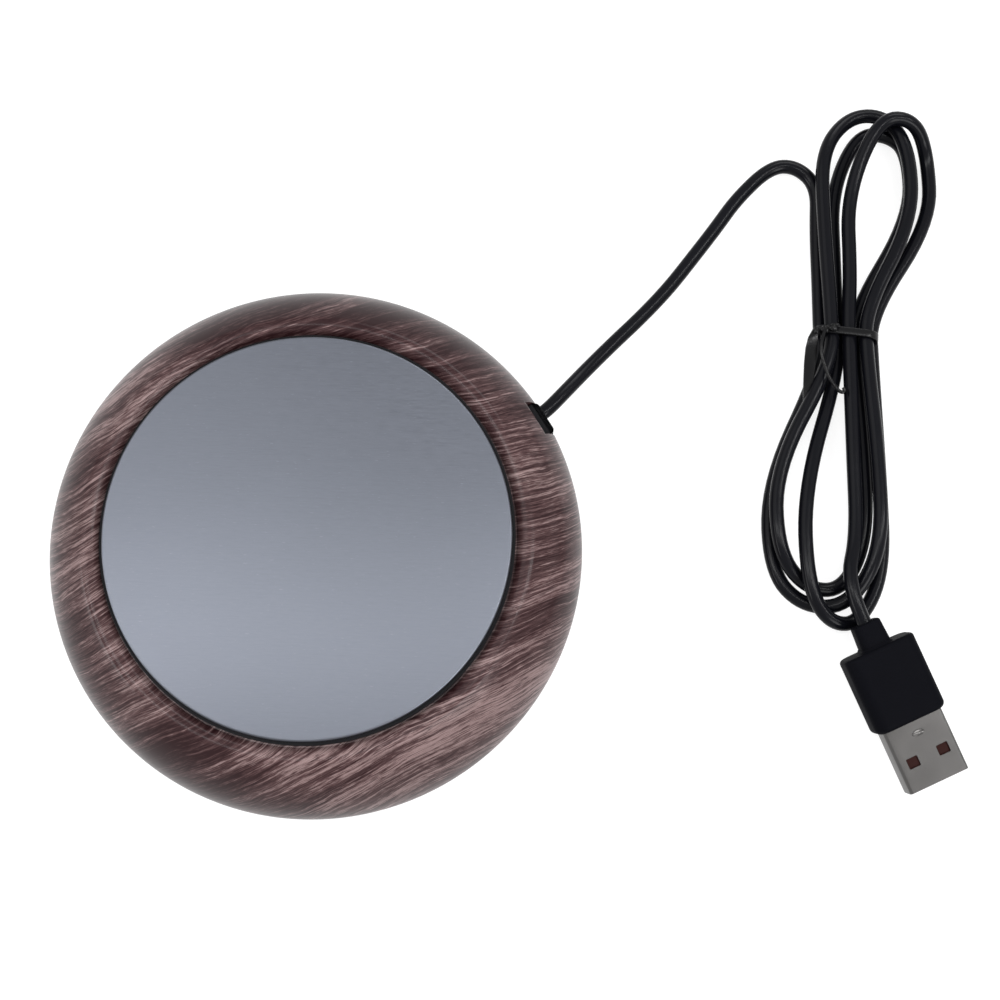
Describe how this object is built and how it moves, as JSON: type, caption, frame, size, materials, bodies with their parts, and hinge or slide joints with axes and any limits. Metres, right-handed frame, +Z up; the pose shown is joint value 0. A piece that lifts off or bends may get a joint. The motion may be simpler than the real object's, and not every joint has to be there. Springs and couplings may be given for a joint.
{
  "type": "electric mug warmer",
  "caption": "Round domed mug warmer with a wood-grain ring round a brushed metal heating plate, and a thin black USB cord folded into a tied hank.",
  "frame": {"origin": "bottom centre of the warmer, on the table", "axes": "+Z up out of the heating plate, +X to the right and +Y to the back of the table as pictured"},
  "size_m": [0.1717, 0.1399, 0.023],
  "materials": {
    "wood_grain_shell": "gloss",
    "plate_metal": "brushed",
    "black_rubber": "matte",
    "black_plastic": "matte",
    "cord_jacket": "gloss",
    "plug_moulding": "matte",
    "plug_metal": "satin",
    "plug_insulator": "matte",
    "contact_gold": "satin",
    "zinc_steel": "satin",
    "film_amber": "gloss",
    "wool_white": "matte",
    "cutout_case": "matte",
    "wire_white": "satin",
    "cap_clear": "gloss",
    "tie_plastic": "satin"
  },
  "bodies": {
    "root": {"top_shell": "wood_grain_shell", "heating_plate": "plate_metal", "plate_seal": "black_rubber", "heater_film": "film_amber", "insulation_pad": "wool_white", "heater_retainer": "zinc_steel", "retainer_nuts": "zinc_steel", "thermal_cutout": "cutout_case", "cutout_clip": "zinc_steel", "clip_screws": "zinc_steel", "base_cover": "black_plastic", "base_screws": "zinc_steel", "rubber_feet": "black_rubber", "cord_grommet": "black_rubber", "cord_clamp": "black_plastic", "clamp_screws": "zinc_steel", "cord_tail": "cord_jacket", "cord_cores": "wire_white", "crimp_caps": "cap_clear", "plug_overmould": "plug_moulding", "plug_shell": "plug_metal", "plug_tongue": "plug_insulator", "plug_contacts": "contact_gold", "cord_lead": "cord_jacket", "cord_hank": "cord_jacket", "twist_tie": "tie_plastic", "wire_supply": "wire_white", "wire_link": "wire_white", "wire_return": "wire_white"}
  },
  "joints": []
}
